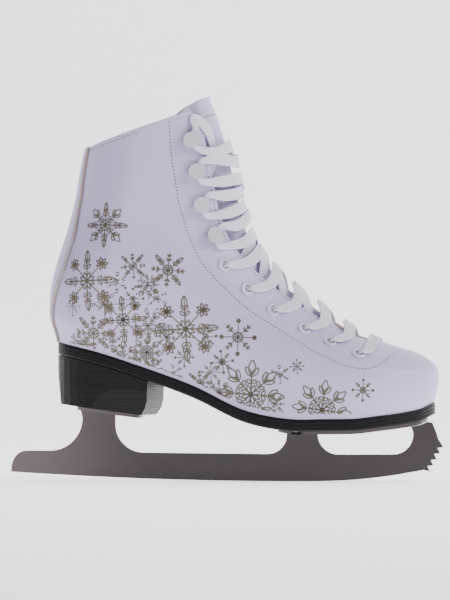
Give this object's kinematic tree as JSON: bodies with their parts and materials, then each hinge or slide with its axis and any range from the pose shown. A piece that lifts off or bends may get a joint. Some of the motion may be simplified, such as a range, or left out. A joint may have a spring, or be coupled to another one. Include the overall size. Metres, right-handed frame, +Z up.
{
  "type": "figure skate",
  "caption": "Right-foot laced figure skate: a stiffened white boot with eyelets and hooks, a padded tongue, a black sole and heel, and a toe-picked steel blade.",
  "frame": {"origin": "on the ice, under the middle of the blade", "axes": "+X from the heel to the toe, +Y to the inner side of the right foot, +Z up"},
  "size_m": [0.29, 0.088, 0.258],
  "materials": {
    "outsole_black": "satin, near black",
    "heel_black": "satin, near black, stacked",
    "shank_steel": "plain",
    "board": "plain fibre board",
    "footbed_cloth": "woven",
    "upper_leather": "coated, fine grain, satin",
    "facing_leather": "plain",
    "foam": "open cell foam",
    "lining_cloth": "brushed",
    "stiffener_board": "stiffened",
    "tongue_leather": "coated, fine grain, satin",
    "tongue_cloth": "brushed felt",
    "eyelet_paint": "enamelled",
    "washer_steel": "plated",
    "hook_paint": "enamelled",
    "rivet_steel": "plated",
    "lace_cloth": "flat woven, ribbed",
    "aglet_plastic": "clear over white",
    "runner_steel": "satin plated",
    "plate_steel": "satin plated",
    "screw_steel": "plated"
  },
  "bodies": {
    "skate": {"outsole": "outsole_black", "heel_block": "heel_black", "heel_top_lift": "heel_black", "shank": "shank_steel", "insole_board": "board", "footbed": "footbed_cloth", "upper": "upper_leather", "facing_outer": "facing_leather", "facing_inner": "facing_leather", "backstay": "upper_leather", "collar_padding": "foam", "lining": "lining_cloth", "heel_counter": "stiffener_board", "toe_puff": "stiffener_board", "eyelets_outer": "eyelet_paint", "eyelets_inner": "eyelet_paint", "eyelet_washers": "washer_steel", "hooks_outer": "hook_paint", "hooks_inner": "hook_paint", "hook_rivets": "rivet_steel", "hook_washers": "washer_steel", "lace": "lace_cloth", "aglets": "aglet_plastic", "runner": "runner_steel", "sole_plate": "plate_steel", "heel_plate": "plate_steel", "sole_screws": "screw_steel", "heel_screws": "screw_steel"},
    "tongue": {"tongue_face": "tongue_leather", "tongue_padding": "foam", "tongue_lining": "tongue_cloth"}
  },
  "joints": [
    {"name": "tongue_hinge", "type": "hinge", "parent": "skate", "child": "tongue", "pos_m": [0.093, 0.003, 0.086], "axis": [0, 1, 0], "range_deg": [-9, 0], "stiffness_Nm_per_rad": 0.6}
  ]
}
